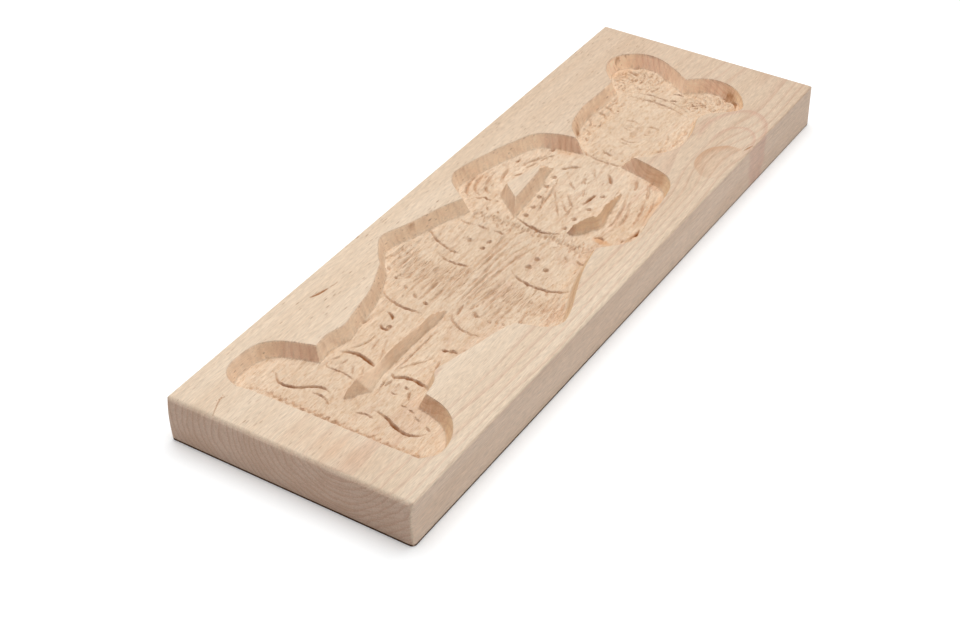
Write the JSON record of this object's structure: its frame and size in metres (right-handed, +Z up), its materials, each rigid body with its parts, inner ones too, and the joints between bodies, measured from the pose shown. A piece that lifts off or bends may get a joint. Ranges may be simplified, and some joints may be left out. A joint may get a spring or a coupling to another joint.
{
  "type": "speculaas board",
  "caption": "Flat wooden mould board with a standing figure in a plumed cap and pleated breeches cut hollow into its top face.",
  "frame": {"origin": "centre of the underside", "axes": "+X across the board, to the right of the carved figure as it is seen; +Y along the board, from the figure's shoes to its cap; +Z up, out of the carved face"},
  "size_m": [0.106, 0.321, 0.02],
  "materials": {
    "beech": "planed and sanded beech, bare, satin"
  },
  "bodies": {
    "root": {"board": "beech"}
  },
  "joints": []
}
